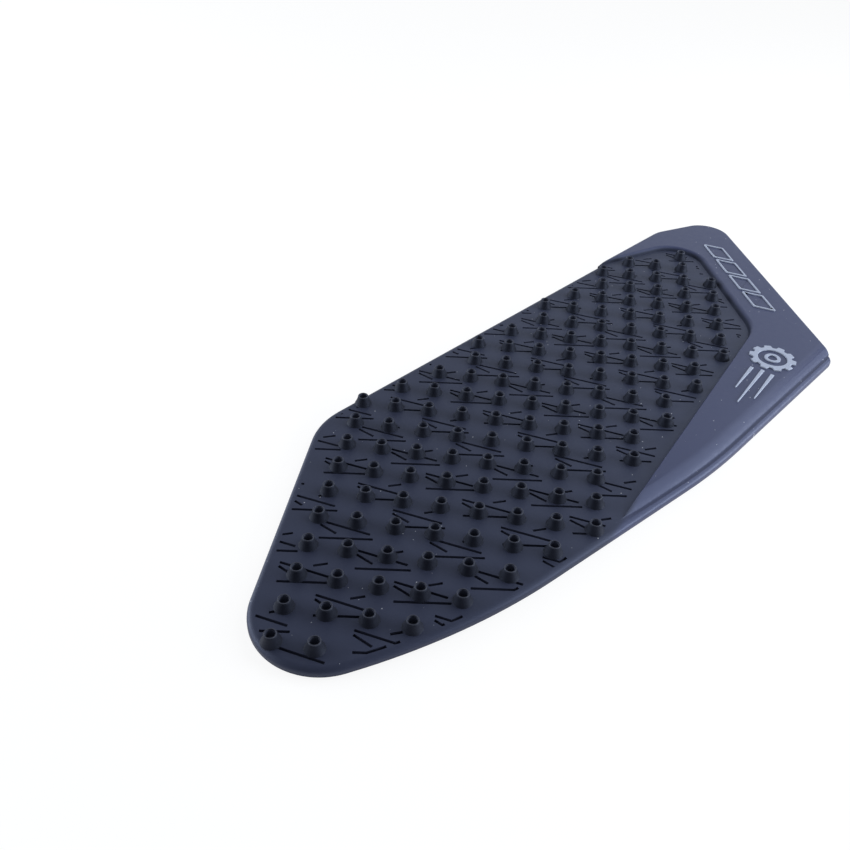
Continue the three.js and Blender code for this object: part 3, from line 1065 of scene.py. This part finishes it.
def finish_numbers(places):
    """The finish of each face of the pad, told from where a place inside it lies in the drawing."""
    plan = places[:, :2]
    height = places[:, 2]
    numbers = np.full(len(places), FINISH_NUMBER["body"])
    border = inside(np.vstack((parallel(crease, WALL_OFFSET), around_plateau)), plan)
    numbers[border & (height > PLATEAU + LEVEL_MARGIN)] = FINISH_NUMBER["lines"]
    off_edge = nearest(outline, plan, True)[0] > EDGE_ROUND + EDGE_MARGIN
    sunk = (height < FIELD - LEVEL_MARGIN) & (height > PAD_BOTTOM + BOTTOM_MARGIN)
    numbers[~border & off_edge & sunk] = FINISH_NUMBER["strokes"]
    grid = np.round(plan / STUD_PITCH) * STUD_PITCH
    from_axis = np.linalg.norm(plan - grid, axis=1)
    in_stud = (from_axis < STUD_BASE / 2 + STUD_MARGIN) & (height > FIELD + STUD_FOOT_LEVEL_MARGIN)
    numbers[~border & in_stud] = FINISH_NUMBER["studs"]
    in_hole = (from_axis < STUD_HOLE / 2 + LEVEL_MARGIN) & (height < STUD_LEVEL - STUD_TOP_MARGIN)
    numbers[~border & in_stud & in_hole] = FINISH_NUMBER["holes"]
    return numbers


def face_places(mesh):
    """A place inside each face: the centre of the largest of its triangles."""
    mesh.calc_loop_triangles()
    count = len(mesh.loop_triangles)
    owner = np.empty(count, np.int32)
    mesh.loop_triangles.foreach_get("polygon_index", owner)
    area = np.empty(count)
    mesh.loop_triangles.foreach_get("area", area)
    corners = np.empty(count * 3, np.int32)
    mesh.loop_triangles.foreach_get("vertices", corners)
    points = np.empty(len(mesh.vertices) * 3)
    mesh.vertices.foreach_get("co", points)
    centre = points.reshape(-1, 3)[corners.reshape(-1, 3)].mean(axis=1)
    places = np.zeros((len(mesh.polygons), 3))
    order = np.argsort(area)
    places[owner[order]] = centre[order]
    return places


def moulded_pad():
    pad = combined(slab(), "DIFFERENCE", groove_cutter(FINISHES["body"]))
    pad = combined(pad, "UNION", plateau())
    pad = combined(pad, "DIFFERENCE", stroke_cutters(FINISHES["strokes"]))
    pad = combined(pad, "UNION", studs(FINISHES["studs"]))
    pad = combined(pad, "UNION", one_object("ornaments", bar_row() + toothed_ring() + dash_figures()))
    pad.name = "moulded_pad"
    mesh = pad.data
    mesh.name = "moulded_pad"
    mesh.materials.clear()
    for material in FINISHES.values():
        mesh.materials.append(material)
    centres = face_places(mesh) / MM + (*PLAN_CENTRE, 0)
    mesh.polygons.foreach_set("material_index", finish_numbers(centres).astype(np.int32))
    mesh.shade_smooth()
    mesh.set_sharp_from_angle(angle=math.radians(SHARP_ANGLE))
    weighted = pad.modifiers.new("weighted", "WEIGHTED_NORMAL")
    weighted.keep_sharp = True
    weighted.weight = 100
    return baked(pad)


def thin_sheet(name, inset, bottom, top, material):
    line = parallel(outline, inset, True)
    sheet = loft(name, [(bottom, line), (top, line)])
    sheet.data.materials.append(material)
    return sheet


pad = moulded_pad()
film = thin_sheet("film_sheet", FILM_INSET, FILM_BOTTOM, PAD_BOTTOM, clear_film())
liner = thin_sheet("liner_sheet", LINER_INSET, LINER_BOTTOM, FILM_BOTTOM, printed_liner())

for piece, node, slot in (
    (pad, "rubber_pad", "pad_rubber"),
    (film, "adhesive_film", "clear_adhesive"),
    (liner, "release_liner", "liner_paper"),
):
    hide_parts(node)
    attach(piece, "root")


# Camera, light and floor

CAMERA_PLACE = Vector(to_frame([(49.06, -115.54, 161.21)])[0])
CAMERA_LOOK = Vector((-0.1135, 0.7775, -0.6186)).normalized()
CAMERA_UP = Vector((-0.1338, 0.6050, 0.7850))
CAMERA_LENS = 37.035


def turned_to(look, up):
    """A turn whose -Z looks along look, with its +Y as near to up as can be."""
    right = look.cross(up).normalized()
    return Matrix((right, right.cross(look), -look)).transposed()


def camera():
    data = bpy.data.cameras.new("camera")
    data.lens = CAMERA_LENS
    data.sensor_width = 36.0
    data.clip_start = 0.01
    obj = shown(bpy.data.objects.new("camera", data))
    obj.matrix_world = Matrix.Translation(CAMERA_PLACE) @ turned_to(CAMERA_LOOK, CAMERA_UP).to_4x4()
    bpy.context.scene.camera = obj


def softbox(name, place, aim, size, power):
    data = bpy.data.lights.new(name, "AREA")
    data.shape = "RECTANGLE"
    data.size, data.size_y = size
    data.energy = power
    data.color = PANEL_COLOUR
    obj = shown(bpy.data.objects.new(name, data))
    look = (Vector(aim) - Vector(place)).normalized()
    obj.matrix_world = Matrix.Translation(place) @ turned_to(look, Vector((0, 0, 1))).to_4x4()


def floor():
    far = FLOOR_HALF
    corners = [(-far, -far, 0), (far, -far, 0), (far, far, 0), (-far, far, 0)]
    mesh = bpy.data.meshes.new("floor")
    mesh.from_pydata(corners, [], [(0, 1, 2, 3)])
    obj = shown(bpy.data.objects.new("floor", mesh))
    material, tree = material_tree("pale_floor")
    ray = tree.add("ShaderNodeLightPath")
    seen = tree.math("MINIMUM", tree.out(ray, "Is Camera Ray") + tree.out(ray, "Is Glossy Ray"), 1.0)
    matt = tree.add("ShaderNodeBsdfDiffuse", {}, {"Color": FLOOR_COLOUR})
    white = tree.add("ShaderNodeEmission", {}, {"Color": (1, 1, 1, 1), "Strength": FLOOR_WHITE})
    mixed = tree.add("ShaderNodeMixShader", {}, {
        0: seen * FLOOR_WHITE_SHARE, 1: tree.out(matt), 2: tree.out(white),
    })
    tree.add("ShaderNodeOutputMaterial", {}, {"Surface": tree.out(mixed)})
    mesh.materials.append(material)


def world():
    made = bpy.data.worlds.new("studio")
    made.use_nodes = True
    made.node_tree.nodes.clear()
    tree = Tree(made.node_tree)
    ray = tree.add("ShaderNodeLightPath")
    plain = tree.add("ShaderNodeBackground", {}, {"Color": WORLD_COLOUR, "Strength": WORLD_STRENGTH})
    white = tree.add("ShaderNodeBackground", {}, {"Color": (1, 1, 1, 1), "Strength": 1.0})
    mixed = tree.add("ShaderNodeMixShader", {}, {
        0: tree.out(ray, "Is Camera Ray"), 1: tree.out(plain), 2: tree.out(white),
    })
    tree.add("ShaderNodeOutputWorld", {}, {"Surface": tree.out(mixed)})
    bpy.context.scene.world = made


camera()
world()
floor()
for panel in PANELS:
    softbox(*panel)
bpy.context.scene.view_settings.view_transform = "Standard"
